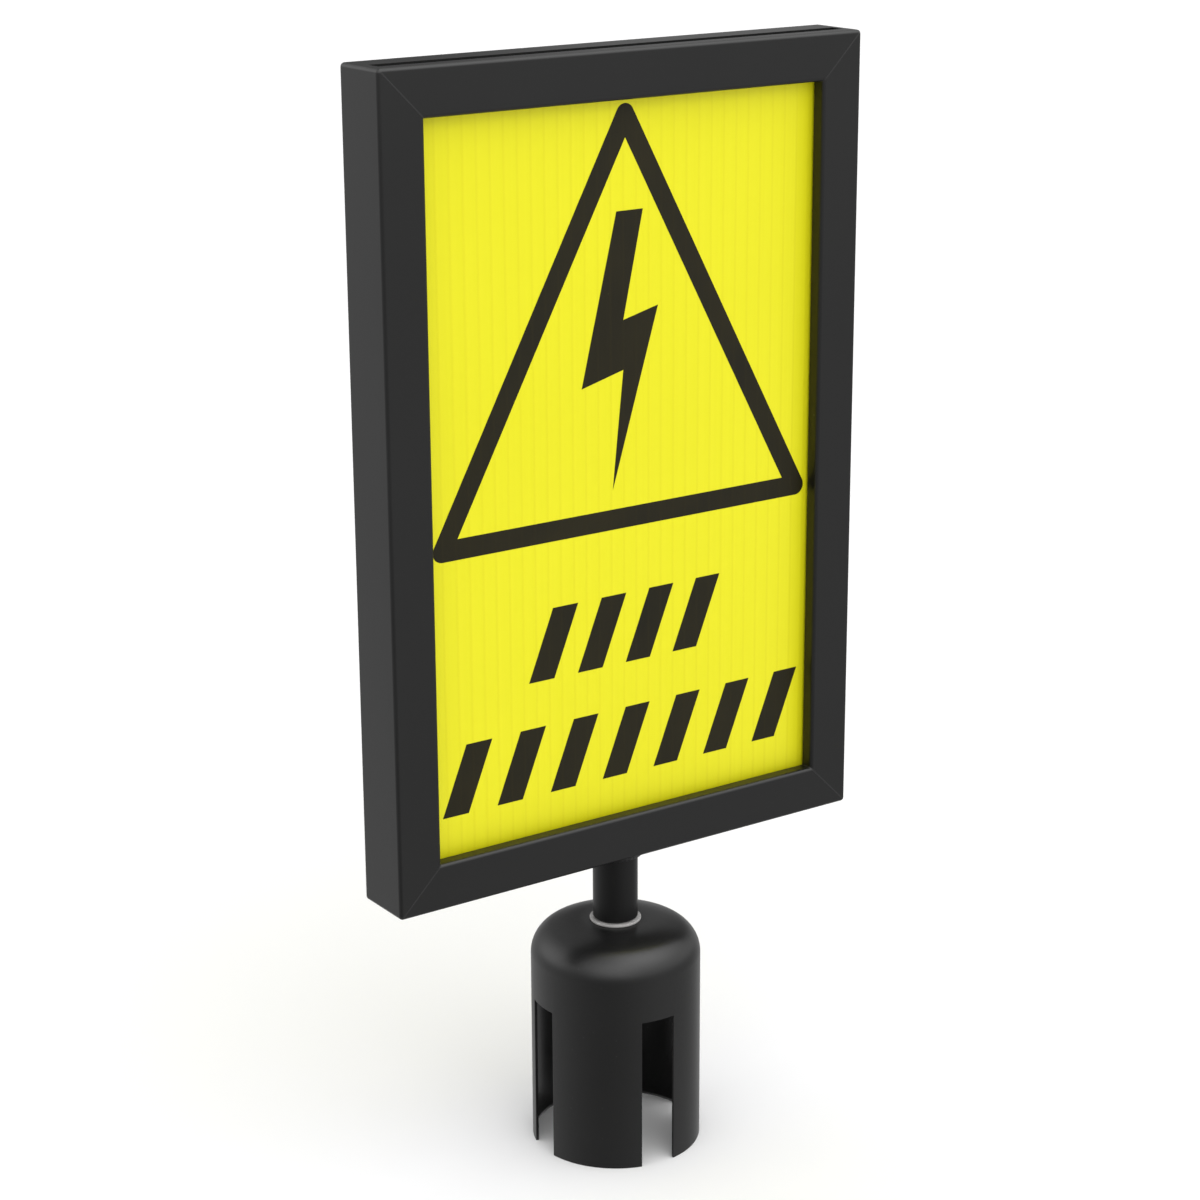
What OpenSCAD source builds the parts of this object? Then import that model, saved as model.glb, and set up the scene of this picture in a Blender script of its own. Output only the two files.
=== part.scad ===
// Slip-over sign holder for a retractable-belt barrier post.
// A steel frame holds a fluted plastic sign sheet and swivels on a slotted cap that drops over the post head.
// Millimetres, +Z up, the sign's front faces -Y. Origin: centre of the cap's lower rim.

/* [Post cap] */
// Outside diameter of the cap
cap_od = 68.2; // [62:0.1:84]
// Height of the cap from its lower rim to its seat for the bush
cap_h = 93.8; // [78:0.1:114]
// How far the top rises in a shallow crown from the shoulder to the seat
cap_crown = 1.8; // [0:0.1:3]
// Wall of the drawn steel cap
cap_wall = 1.2; // [0.9:0.1:1.8]
// Outside radius of the rounded shoulder
shoulder_r = 12.4; // [9:0.1:15]
// Width of each belt slot
belt_slot_w = 14.4; // [10:0.1:18]
// Height of each belt slot above the lower rim
belt_slot_h = 62.8; // [45:0.1:62.8]
// Number of belt slots round the cap
belt_slot_count = 4; // [2:1:4]
// Turn of the slots about the vertical axis, in degrees
cap_turn = -5; // [-45:1:45]

/* [Swivel] */
// Thread diameter of the clamp bolt
bolt_d = 8; // [6:1:10]
// Length of the bolt under its head
bolt_len = 25; // [22:1:28]
// Width across the flats of the bolt head
bolt_head_af = 13; // [10:0.5:17]
// Height of the bolt head
bolt_head_h = 5.3; // [4:0.1:6.5]
// How far the bush flange shows round the stem, as a pale ring
bush_flange_rim = 1.3; // [0.5:0.1:3]
// Thickness of the bush flange
bush_flange_t = 1; // [0.8:0.1:1.5]
// Wall of the bush sleeve
bush_wall = 1.4; // [1:0.1:2]
// Diameter of the plastic thrust washer inside the cap
thrust_washer_d = 22; // [18:0.5:28]
// Thickness of the plastic thrust washer
thrust_washer_t = 1.2; // [0.8:0.1:1.6]
// Diameter of the steel flat washer
flat_washer_d = 20; // [17:0.5:24]
// Thickness of the steel flat washer
flat_washer_t = 1.6; // [1.2:0.1:2]
// Side of the square wire of the split lock washer
lock_washer_wire = 2; // [1.6:0.1:2.2]

/* [Stem] */
// Outside diameter of the stem tube
stem_od = 18; // [16:0.5:20]
// Wall of the stem tube
stem_wall = 1.5; // [1:0.1:2]
// Length of stem seen between the bush and the frame
stem_len = 29.2; // [27:0.1:60]
// Chamfer at the foot of the stem
stem_chamfer = 0.8; // [0.3:0.1:1]
// Length of the threaded plug in the foot of the stem
plug_len = 20; // [18:1:24]
// Leg of the fillet weld between the stem and the frame
stem_weld_leg = 2.5; // [1.5:0.1:3]

/* [Frame] */
// Outside width of the frame
frame_w = 214; // [150:1:320]
// Outside height of the frame
frame_h = 315; // [220:1:460]
// Depth of the frame from front to back
frame_d = 26.5; // [24:0.1:34]
// Width of the frame's face round the window
face_w = 18.4; // [15:0.1:26]
// Sheet metal thickness of the rails
rail_t = 1.2; // [0.9:0.1:1.5]
// Outside radius of the rails' bends
bend_r = 1.5; // [1:0.1:2]
// Depth of the lip in front of the sign
front_lip = 6.6; // [5:0.1:8]
// Thickness of the weld in each mitre
mitre_weld_t = 0.5; // [0.3:0.1:0.8]

/* [Sign sheet] */
// Thickness of the twin-wall sheet
sign_t = 5; // [4:0.5:6]
// Skin of the twin-wall sheet
sign_skin = 0.5; // [0.3:0.1:0.7]
// Thickness of the ribs between the flutes
sign_rib = 0.4; // [0.3:0.1:0.6]
// Distance from one flute to the next
flute_pitch = 5.8; // [4:0.1:8]
// Gap between each side of the sheet and the rail beside it
sign_side_gap = 4.3; // [3:0.1:6]
// Gap above the sheet, under the top rail
sign_top_gap = 8.6; // [4:0.1:12]

/* [Fits] */
// Gap between the front lip and the sheet
sign_front_play = 0.3; // [0.2:0.1:0.8]
// Gap behind the sheet
sign_back_play = 1.2; // [0.5:0.1:1.5]
// Room at each end of the insertion slot
insert_end_play = 1.5; // [0.5:0.1:2]
// Radial running clearance of the bolt in the bush
bush_run = 0.08; // [0.05:0.01:0.1]
// Radial clearance of the bush in the cap
bush_seat = 0.05; // [0.02:0.01:0.1]
// Radial clearance of the bolt in the washers
washer_play = 0.4; // [0.2:0.1:0.5]
// Radial clearance of the bolt in the plug's thread
thread_play = 0.03; // [0.02:0.01:0.05]
// Radial clearance of the plug in the stem tube
plug_seat = 0.02; // [0.01:0.01:0.05]

/* [Hidden] */
$fn = 96;
over = 1;                       // how far a cut runs past the face that it opens
seat_margin = 0.5;              // flat left round the bush flange and the thrust washer
hex_sides = 6;
thread_chamfer = 0.8;
head_chamfer = 0.6;
lock_split_deg = 12;            // width of the lock washer's split
paint = [0.17, 0.17, 0.175];
weld_paint = [0.23, 0.23, 0.235];
nylon = [0.80, 0.80, 0.78];
zinc = [0.68, 0.69, 0.70];
sign_yellow = [0.94, 0.92, 0.16];

cap_r = cap_od / 2;
bolt_r = bolt_d / 2;
bush_bore_r = bolt_r + bush_run;
bush_sleeve_r = bush_bore_r + bush_wall;
cap_hole_r = bush_sleeve_r + bush_seat;
washer_bore_r = bolt_r + washer_play;

// The crown is a cone from the flat seat to where it leaves the shoulder's arc, crown_turn round that arc
seat_r = max(stem_od / 2 + bush_flange_rim, thrust_washer_d / 2) + seat_margin;
crown_run = cap_r - shoulder_r - seat_r;
crown_reach = shoulder_r + cap_crown;
crown_turn = atan2(crown_reach, -crown_run) - acos(shoulder_r / norm([crown_run, crown_reach]));
crown_slope = 90 - crown_turn;

// The clamp stack below the cap's top, counted down from the inside face
cap_ceiling_z = cap_h - cap_wall;
thrust_washer_z = cap_ceiling_z - thrust_washer_t;
flat_washer_z = thrust_washer_z - flat_washer_t;
lock_washer_z = flat_washer_z - lock_washer_wire;
bolt_head_z = lock_washer_z - bolt_head_h;

stem_r = stem_od / 2;
stem_z = cap_h + bush_flange_t;
stem_bore_r = stem_r - stem_wall;
frame_z = stem_z + stem_len;
frame_mid_z = frame_z + frame_h / 2;
front_y = -frame_d / 2;
// The weld stays on the flat of the rail, inside its bends
stem_weld_r = min(stem_weld_leg, frame_d / 2 - bend_r - stem_r);

channel_w = sign_front_play + sign_t + sign_back_play;
back_lip = frame_d - front_lip - channel_w;
sign_w = frame_w - 2 * (rail_t + sign_side_gap);
sign_h = frame_h - 2 * rail_t - sign_top_gap;
sign_front_y = front_y + front_lip + sign_front_play;
insert_slot_len = sign_w + 2 * insert_end_play;
flute_count = floor((sign_w - sign_rib) / flute_pitch);

// Section of a crowned cup, from the axis outwards; seat is the radius of the flat at its middle
module cup_section(radius, height, shoulder, seat) {
    centre = [radius - shoulder, height - cap_crown - shoulder];
    leave = centre + shoulder * [cos(crown_turn), sin(crown_turn)];
    square([radius, centre.y]);
    translate(centre) circle(shoulder);
    polygon([[0, 0], [centre.x, 0], centre, leave, [seat, height], [0, height]]);
}

// Flat ring with its lower face at z
module ring(outer_r, inner_r, thickness, z) {
    translate([0, 0, z]) difference() {
        cylinder(r = outer_r, h = thickness);
        translate([0, 0, -over]) cylinder(r = inner_r, h = thickness + 2 * over);
    }
}

// Folded closed box of sheet metal; its corner beside the channel stays square at the web
module lip_box(depth) {
    difference() {
        union() {
            translate([bend_r, 0]) square([depth - bend_r, face_w - bend_r]);
            translate([0, bend_r]) square([depth, face_w - 2 * bend_r]);
            translate([bend_r, bend_r]) square([depth - 2 * bend_r, face_w - bend_r]);
            for (corner = [[bend_r, bend_r], [bend_r, face_w - bend_r], [depth - bend_r, face_w - bend_r]])
                translate(corner) circle(bend_r);
        }
        translate([rail_t, rail_t]) square([depth - 2 * rail_t, face_w - 2 * rail_t]);
    }
}

// Section of every rail: front box, channel for the sheet, back box, all on one outer web
module rail_section() {
    lip_box(front_lip);
    translate([frame_d, 0]) mirror([1, 0]) lip_box(back_lip);
    translate([front_lip - rail_t, 0]) square([channel_w + 2 * rail_t, rail_t]);
}

// Rail along X with its outer web at z = 0; gap is what each mitre is cut back by, square to the cut
module rail(length, gap) {
    end_x = length / 2 - gap * sqrt(2);
    intersection() {
        translate([-length / 2, front_y, 0])
            rotate([90, 0, 90]) linear_extrude(length) rail_section();
        rotate([90, 0, 0]) linear_extrude(frame_d + 2 * over, center = true)
            polygon([[-end_x, 0], [end_x, 0], [end_x - face_w, face_w], [-end_x + face_w, face_w]]);
    }
}

// Turns a rail that lies at the bottom of the frame to one of its four sides
module frame_side(turn, half_extent) {
    translate([0, 0, frame_mid_z]) rotate([0, turn, 0]) translate([0, 0, -half_extent]) children();
}

module mitred_rail(turn, length, half_extent) {
    frame_side(turn, half_extent) rail(length, mitre_weld_t / 2);
}

module cap_shell() {
    color(paint) difference() {
        rotate_extrude() difference() {
            cup_section(cap_r, cap_h, shoulder_r, seat_r);
            cup_section(cap_r - cap_wall, cap_h - cap_wall, shoulder_r - cap_wall,
                        seat_r - cap_wall * tan(crown_slope / 2));
            square([cap_hole_r, cap_h + over]);
        }
        for (i = [0 : belt_slot_count - 1])
            rotate([0, 0, cap_turn + i * 360 / belt_slot_count])
                translate([-belt_slot_w / 2, -cap_r - over, -over])
                    cube([belt_slot_w, cap_r, belt_slot_h + over]);
    }
}

module swivel_bush() {
    color(nylon) {
        ring(stem_r + bush_flange_rim, bush_bore_r, bush_flange_t, cap_h);
        ring(bush_sleeve_r, bush_bore_r, cap_wall, cap_ceiling_z);
    }
}

module thrust_washer() {
    color(nylon) ring(thrust_washer_d / 2, bush_bore_r, thrust_washer_t, thrust_washer_z);
}

module flat_washer() {
    color(zinc) ring(flat_washer_d / 2, washer_bore_r, flat_washer_t, flat_washer_z);
}

module lock_washer() {
    color(zinc) translate([0, 0, lock_washer_z])
        rotate([0, 0, lock_split_deg]) rotate_extrude(angle = 360 - lock_split_deg)
            translate([washer_bore_r, 0]) square(lock_washer_wire);
}

module clamp_bolt() {
    head_r = bolt_head_af / 2 / cos(180 / hex_sides);
    color(zinc) {
        translate([0, 0, bolt_head_z]) intersection() {
            cylinder(r = head_r, h = bolt_head_h, $fn = hex_sides);
            rotate_extrude() polygon([[0, 0], [head_r - 2 * head_chamfer, 0], [head_r, head_chamfer],
                                      [head_r, bolt_head_h], [0, bolt_head_h]]);
        }
        translate([0, 0, lock_washer_z]) rotate_extrude()
            polygon([[0, 0], [bolt_r, 0], [bolt_r, bolt_len - thread_chamfer],
                     [bolt_r - thread_chamfer, bolt_len], [0, bolt_len]]);
    }
}

module stem_plug() {
    color(zinc) ring(stem_bore_r - plug_seat, bolt_r + thread_play, plug_len, stem_z);
}

module stem_tube() {
    color(paint) translate([0, 0, stem_z]) rotate_extrude()
        polygon([[stem_bore_r, 0], [stem_r - stem_chamfer, 0], [stem_r, stem_chamfer],
                 [stem_r, stem_len], [stem_bore_r, stem_len]]);
}

module stem_weld() {
    color(weld_paint) rotate_extrude() translate([stem_r, frame_z]) intersection() {
        circle(stem_weld_r);
        translate([0, -stem_weld_r]) square(stem_weld_r);
    }
}

module frame_bottom_rail() {
    color(paint) mitred_rail(0, frame_w, frame_h / 2);
}

module frame_left_rail() {
    color(paint) mitred_rail(90, frame_h, frame_w / 2);
}

module frame_right_rail() {
    color(paint) mitred_rail(-90, frame_h, frame_w / 2);
}

module frame_top_rail() {
    color(paint) difference() {
        mitred_rail(180, frame_w, frame_h / 2);
        translate([-insert_slot_len / 2, front_y + front_lip, frame_z + frame_h - rail_t - over])
            cube([insert_slot_len, channel_w, rail_t + 2 * over]);
    }
}

// What fills the mitres: each rail carried through to its mitre, less the rail as it was cut
module corner_welds() {
    sides = [[0, frame_w, frame_h / 2], [90, frame_h, frame_w / 2],
             [180, frame_w, frame_h / 2], [-90, frame_h, frame_w / 2]];
    color(weld_paint)
        for (side = sides)
            frame_side(side[0], side[2]) difference() {
                rail(side[1], 0);
                mitre_keep(side[1]);
            }
}

// The wedge of space that a cut rail takes up, deep enough to clear its section
module mitre_keep(length) {
    end_x = length / 2 - mitre_weld_t / 2 * sqrt(2);
    rotate([90, 0, 0]) linear_extrude(frame_d + 2 * over, center = true)
        polygon([[-end_x - over, -over], [end_x + over, -over],
                 [end_x - face_w - over, face_w + over], [-end_x + face_w + over, face_w + over]]);
}

module sign_sheet() {
    first_x = -flute_count * flute_pitch / 2;
    color(sign_yellow) translate([0, sign_front_y, frame_z + rail_t]) difference() {
        translate([-sign_w / 2, 0, 0]) cube([sign_w, sign_t, sign_h]);
        for (i = [0 : flute_count - 1])
            translate([first_x + i * flute_pitch + sign_rib / 2, sign_skin, -over])
                cube([flute_pitch - sign_rib, sign_t - 2 * sign_skin, sign_h + 2 * over]);
    }
}

cap_shell();
swivel_bush();
thrust_washer();
flat_washer();
lock_washer();
clamp_bolt();
stem_plug();
stem_tube();
stem_weld();
frame_bottom_rail();
frame_left_rail();
frame_right_rail();
frame_top_rail();
corner_welds();
sign_sheet();
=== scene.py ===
import math

import bmesh
import bpy
from mathutils import Matrix, Vector


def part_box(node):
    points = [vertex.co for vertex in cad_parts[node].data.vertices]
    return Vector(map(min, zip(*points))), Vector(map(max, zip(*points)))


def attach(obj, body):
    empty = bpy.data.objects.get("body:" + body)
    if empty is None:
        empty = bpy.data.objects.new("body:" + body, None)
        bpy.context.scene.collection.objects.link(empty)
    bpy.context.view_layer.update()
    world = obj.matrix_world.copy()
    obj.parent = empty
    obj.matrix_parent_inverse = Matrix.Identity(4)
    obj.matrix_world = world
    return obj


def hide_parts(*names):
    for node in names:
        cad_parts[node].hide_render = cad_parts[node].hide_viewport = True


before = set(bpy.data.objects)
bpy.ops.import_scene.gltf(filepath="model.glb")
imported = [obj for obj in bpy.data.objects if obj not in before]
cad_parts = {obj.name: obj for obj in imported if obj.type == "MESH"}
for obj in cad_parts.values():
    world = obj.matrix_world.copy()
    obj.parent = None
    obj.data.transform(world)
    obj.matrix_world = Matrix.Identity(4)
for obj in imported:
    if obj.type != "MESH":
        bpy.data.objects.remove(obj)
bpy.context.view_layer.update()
mm = 0.001
fullTurn = 2 * math.pi
print("frame loaded:", len(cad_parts), "nodes")


def feed(tree, socket, value):
    # a value is either a socket to link or a plain value
    if isinstance(value, bpy.types.NodeSocket):
        tree.links.new(value, socket)
    else:
        socket.default_value = value


def put(tree, kind, feeds=None, **settings):
    node = tree.nodes.new(kind)
    for key, value in settings.items():
        setattr(node, key, value)
    for key, value in (feeds or {}).items():
        feed(tree, node.inputs[key], value)
    return node


def sums(tree, operation, first, second=0.0, third=0.0):
    # one Math node, any of its inputs a number or a socket
    return put(tree, "ShaderNodeMath", {0: first, 1: second, 2: third}, operation=operation).outputs[0]


def openTree(name, kind, inputs, outputs):
    # a node group with named sockets; gives the tree, its input sockets and its output node
    tree = bpy.data.node_groups.new(name, kind)
    for label, socketKind, value in inputs:
        socket = tree.interface.new_socket(name=label, in_out="INPUT", socket_type=socketKind)
        if value is not None:
            socket.default_value = value
    for label, socketKind in outputs:
        tree.interface.new_socket(name=label, in_out="OUTPUT", socket_type=socketKind)
    entry = tree.nodes.new("NodeGroupInput")
    leave = tree.nodes.new("NodeGroupOutput")
    return tree, entry.outputs, leave


def place(piece):
    bpy.context.scene.collection.objects.link(piece)
    return piece


def newPiece(name, shape, paint):
    # turns a bmesh into an object at the origin with its faces outwards
    bmesh.ops.recalc_face_normals(shape, faces=shape.faces)
    mesh = bpy.data.meshes.new(name)
    shape.to_mesh(mesh)
    shape.free()
    mesh.materials.append(paint)
    return place(bpy.data.objects.new(name, mesh))


def bake(piece):
    # puts the modifiers' result into the mesh and takes the modifiers off
    graph = bpy.context.evaluated_depsgraph_get()
    result = bpy.data.meshes.new_from_object(
        piece.evaluated_get(graph), preserve_all_data_layers=True, depsgraph=graph)
    piece.modifiers.clear()
    piece.data = result
    result.name = piece.name
    return piece


def markEdges(piece, widest=0.2 * mm):
    # face corners of narrow strips, which are the rounded edges, get 1 in the edge attribute
    mesh = piece.data
    mask = mesh.attributes.new("edge", "FLOAT", "CORNER")
    for polygon in mesh.polygons:
        corners = [mesh.vertices[i].co for i in polygon.vertices]
        longest = max((corners[i] - corners[i - 1]).length for i in range(len(corners)))
        width = polygon.area / max(longest, 1e-9)
        for loop in polygon.loop_indices:
            mask.data[loop].value = 1.0 if width < widest else 0.0


def shadeSmooth(piece, sharpest=None):
    # smooth faces, with edges steeper than sharpest degrees left sharp
    for polygon in piece.data.polygons:
        polygon.use_smooth = True
    if sharpest:
        piece.data.set_sharp_from_angle(angle=math.radians(sharpest))


def softenEdges(piece, radius, steps=2, sharpest=40):
    # rounds the sharp edges, evens the shading out and leaves a plain mesh
    shadeSmooth(piece)
    rounding = piece.modifiers.new("rounding", "BEVEL")
    rounding.width = radius
    rounding.segments = steps
    rounding.limit_method = "ANGLE"
    rounding.angle_limit = math.radians(sharpest)
    rounding.use_clamp_overlap = True
    rounding.miter_outer = "MITER_SHARP"
    evening = piece.modifiers.new("evening", "WEIGHTED_NORMAL")
    evening.keep_sharp = True
    bake(piece)
    markEdges(piece)
    return piece


def arc(centreX, centreY, radius, start, end, steps):
    angles = [math.radians(start + (end - start) * i / steps) for i in range(steps + 1)]
    return [(centreX + radius * math.cos(a), centreY + radius * math.sin(a)) for a in angles]


def turned(outline, steps, swell=None):
    # sweeps a closed outline of (radius, height) points once round the upright axis
    shape = bmesh.new()
    rings = []
    for step in range(steps):
        angle = fullTurn * step / steps
        ring = []
        for radius, height in outline:
            if swell:
                radius, height = swell(radius, height, angle)
            ring.append(shape.verts.new((radius * math.cos(angle), radius * math.sin(angle), height)))
        rings.append(ring)
    for step, ring in enumerate(rings):
        beside = rings[(step + 1) % steps]
        for i in range(len(outline)):
            j = (i + 1) % len(outline)
            shape.faces.new((ring[i], beside[i], beside[j], ring[j]))
    return shape


def hand(piece, body, slot, *nodes):
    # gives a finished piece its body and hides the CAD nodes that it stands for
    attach(piece, body)
    if nodes:
        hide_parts(*nodes)
    return piece


def powderGrainGroup():
    # orange peel of a powder coat: broad dimples with a fine grit on top
    tree, given, leave = openTree(
        "powderGrain", "ShaderNodeTree",
        [("Peel Scale", "NodeSocketFloat", 620.0), ("Grit Scale", "NodeSocketFloat", 2600.0),
         ("Grit Share", "NodeSocketFloat", 0.4)],
        [("Height", "NodeSocketFloat"), ("Grit", "NodeSocketFloat")])
    spot = put(tree, "ShaderNodeTexCoord").outputs["Object"]
    peel = put(tree, "ShaderNodeTexNoise",
               {"Vector": spot, "Scale": given["Peel Scale"], "Detail": 2.0, "Roughness": 0.45})
    grit = put(tree, "ShaderNodeTexNoise",
               {"Vector": spot, "Scale": given["Grit Scale"], "Detail": 3.0, "Roughness": 0.7})
    gritPart = sums(tree, "MULTIPLY", grit.outputs["Fac"], given["Grit Share"])
    tree.links.new(sums(tree, "ADD", peel.outputs["Fac"], gritPart), leave.inputs["Height"])
    tree.links.new(grit.outputs["Fac"], leave.inputs["Grit"])
    return tree


def edgeRubGroup():
    # painted highlight on the rounded edges, where the coat is also thin, broken up by noise
    tree, given, leave = openTree(
        "thinEdgeHighlight", "ShaderNodeTree",
        [("Patch Scale", "NodeSocketFloat", 160.0), ("Cover", "NodeSocketFloat", 0.5)],
        [("Mask", "NodeSocketFloat")])
    spot = put(tree, "ShaderNodeTexCoord").outputs["Object"]
    edge = put(tree, "ShaderNodeAttribute", attribute_name="edge", attribute_type="GEOMETRY")
    patch = put(tree, "ShaderNodeTexNoise", {"Vector": spot, "Scale": given["Patch Scale"], "Detail": 4.0})
    low = sums(tree, "SUBTRACT", 0.75, given["Cover"])
    shown = put(tree, "ShaderNodeMapRange", {"Value": patch.outputs["Fac"], "From Min": low, "From Max": 0.8})
    tree.links.new(sums(tree, "MULTIPLY", edge.outputs["Fac"], shown.outputs["Result"]), leave.inputs["Mask"])
    return tree


def dustGroup():
    # scattered specks and a faint uneven film
    tree, given, leave = openTree(
        "dust", "ShaderNodeTree",
        [("Speck Scale", "NodeSocketFloat", 260.0), ("Speck Size", "NodeSocketFloat", 0.09),
         ("Film Scale", "NodeSocketFloat", 14.0)],
        [("Specks", "NodeSocketFloat"), ("Film", "NodeSocketFloat")])
    spot = put(tree, "ShaderNodeTexCoord").outputs["Object"]
    cells = put(tree, "ShaderNodeTexVoronoi", {"Vector": spot, "Scale": given["Speck Scale"]})
    thin = sums(tree, "MULTIPLY", given["Speck Size"], 0.4)
    near = put(tree, "ShaderNodeMapRange",
               {"Value": cells.outputs["Distance"], "From Min": thin, "From Max": given["Speck Size"],
                "To Min": 1.0, "To Max": 0.0})
    pick = put(tree, "ShaderNodeSeparateColor", {"Color": cells.outputs["Color"]})
    chosen = sums(tree, "GREATER_THAN", pick.outputs["Red"], 0.82)
    tree.links.new(sums(tree, "MULTIPLY", near.outputs["Result"], chosen), leave.inputs["Specks"])
    film = put(tree, "ShaderNodeTexNoise", {"Vector": spot, "Scale": given["Film Scale"], "Detail": 5.0})
    evened = put(tree, "ShaderNodeMapRange",
                 {"Value": film.outputs["Fac"], "From Min": 0.3, "From Max": 0.7})
    tree.links.new(evened.outputs["Result"], leave.inputs["Film"])
    return tree


def fluteLinesGroup():
    # the ribs of a twin-wall sheet telegraph through its skin as upright lines
    tree, given, leave = openTree(
        "fluteLines", "ShaderNodeTree",
        [("Pitch", "NodeSocketFloat", 5.8 * mm), ("First Rib", "NodeSocketFloat", 0.0),
         ("Rib Width", "NodeSocketFloat", 0.16)],
        [("Rib", "NodeSocketFloat"), ("Streak", "NodeSocketFloat")])
    spot = put(tree, "ShaderNodeTexCoord").outputs["Object"]
    across = put(tree, "ShaderNodeSeparateXYZ", {"Vector": spot})
    offset = sums(tree, "SUBTRACT", across.outputs["X"], given["First Rib"])
    along = sums(tree, "DIVIDE", offset, given["Pitch"])
    nearest = sums(tree, "PINGPONG", along, 0.5)      # 0 on a rib, 0.5 half way to the next
    rib = put(tree, "ShaderNodeMapRange",
              {"Value": nearest, "From Min": 0.0, "From Max": given["Rib Width"], "To Min": 1.0, "To Max": 0.0},
              interpolation_type="SMOOTHSTEP")
    tree.links.new(rib.outputs["Result"], leave.inputs["Rib"])
    drawn = put(tree, "ShaderNodeVectorMath", {0: spot, 1: (900.0, 40.0, 3.0)}, operation="MULTIPLY")
    streak = put(tree, "ShaderNodeTexNoise", {"Vector": drawn.outputs[0], "Scale": 1.0, "Detail": 3.0})
    tree.links.new(streak.outputs["Fac"], leave.inputs["Streak"])
    return tree


effects = {
    "grain": powderGrainGroup(),
    "edgeHighlight": edgeRubGroup(),
    "dust": dustGroup(),
    "flutes": fluteLinesGroup(),
}
print("surface effects built")


def openMaterial(name, look):
    # a material with its Principled shader; plain looks are set on the shader's own sockets
    material = bpy.data.materials.new(name)
    material.use_nodes = True
    tree = material.node_tree
    shader = tree.nodes["Principled BSDF"]
    for key, value in look.items():
        shader.inputs[key].default_value = value
    return material, tree, shader


def effect(tree, name, values):
    node = tree.nodes.new("ShaderNodeGroup")
    node.node_tree = effects[name]
    for key, value in values.items():
        feed(tree, node.inputs[key], value)
    return node.outputs


def mixColor(tree, share, first, second):
    node = put(tree, "ShaderNodeMix", data_type="RGBA")
    for index, value in ((0, share), (6, first), (7, second)):
        feed(tree, node.inputs[index], value)
    return node.outputs[2]


def emboss(tree, shader, height, depth):
    relief = put(tree, "ShaderNodeBump", {"Height": height, "Distance": depth, "Strength": 1.0})
    tree.links.new(relief.outputs[0], shader.inputs["Normal"])


def roughen(tree, shader, share, low, high):
    # roughness runs from low to high as share runs from 0 to 1
    rough = put(tree, "ShaderNodeMapRange", {"Value": share, "To Min": low, "To Max": high})
    tree.links.new(rough.outputs["Result"], shader.inputs["Roughness"])


def grey(level, warmth=0.0):
    return (level * (1 + warmth), level, level * (1 - warmth), 1.0)


def coatMaterial(name, coat):
    # black powder coat with its peel, a little dust, and the rounded edges lightened as a painted highlight
    # where the coat is also thin
    material, tree, shader = openMaterial(name, {"Specular IOR Level": coat["gloss"], "IOR": 1.5})
    grain = effect(tree, "grain", {"Peel Scale": coat["peelScale"], "Grit Scale": coat["gritScale"],
                                   "Grit Share": coat["gritShare"]})
    edgeHighlight = effect(tree, "edgeHighlight", {"Cover": coat["edgeHighlightCover"]})
    dust = effect(tree, "dust", {"Speck Scale": coat["speckScale"], "Speck Size": coat["speckSize"]})
    base = mixColor(tree, dust["Film"], grey(coat["tone"] * 0.92), grey(coat["tone"] * 1.08))
    # rounded edges mixed towards a lighter tone: painted highlight, partly the thinner coat there
    edgeHighlighted = mixColor(tree, sums(tree, "MULTIPLY", edgeHighlight["Mask"], coat["edgeHighlight"]), base, grey(coat["edgeHighlightTone"]))
    specks = sums(tree, "MULTIPLY", dust["Specks"], coat["specks"])
    speckled = mixColor(tree, specks, edgeHighlighted, grey(0.30, 0.03))
    tree.links.new(speckled, shader.inputs["Base Color"])
    rough = put(tree, "ShaderNodeMapRange",
                {"Value": dust["Film"], "To Min": coat["rough"] - 0.03, "To Max": coat["rough"] + 0.03})
    polished = sums(tree, "MULTIPLY_ADD", edgeHighlight["Mask"], -0.06, rough.outputs["Result"])
    gritted = sums(tree, "MULTIPLY_ADD", grain["Grit"], 0.08, polished)
    tree.links.new(gritted, shader.inputs["Roughness"])
    emboss(tree, shader, grain["Height"], coat["depth"])
    return material


frameCoat = {
    # the edge tone and its share paint a lighter highlight on the rounded edges, where the coat is also thin
    "tone": 0.0050, "edgeHighlightTone": 0.016, "edgeHighlight": 0.7, "edgeHighlightCover": 0.5,
    "gloss": 0.35, "rough": 0.32, "depth": 0.010 * mm,
    "peelScale": 620.0, "gritScale": 2600.0, "gritShare": 0.35,
    "speckScale": 90.0, "speckSize": 0.022, "specks": 0.5,
}
capCoat = dict(frameCoat, tone=0.007, rough=0.29, depth=0.022 * mm, gritShare=0.8,
               speckScale=420.0, speckSize=0.10, specks=0.12)
stemCoat = dict(frameCoat, tone=0.0045, gloss=0.22, rough=0.30, depth=0.012 * mm, speckScale=240.0)
weldCoat = dict(frameCoat, tone=0.016, edgeHighlightTone=0.03, rough=0.44, depth=0.02 * mm)


def nylonMaterial(look):
    material, tree, shader = openMaterial("naturalNylon", {"Specular IOR Level": look["gloss"]})
    dust = effect(tree, "dust", {"Speck Scale": 700.0, "Speck Size": 0.16, "Film Scale": 160.0})
    base = mixColor(tree, dust["Film"], grey(look["dark"], 0.02), grey(look["light"], 0.02))
    tree.links.new(mixColor(tree, dust["Specks"], base, grey(look["dark"] * 0.6)), shader.inputs["Base Color"])
    roughen(tree, shader, dust["Film"], 0.42, 0.55)
    grain = effect(tree, "grain", {"Peel Scale": 900.0, "Grit Scale": 4200.0, "Grit Share": 0.5})
    emboss(tree, shader, grain["Height"], 0.02 * mm)
    return material


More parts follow.
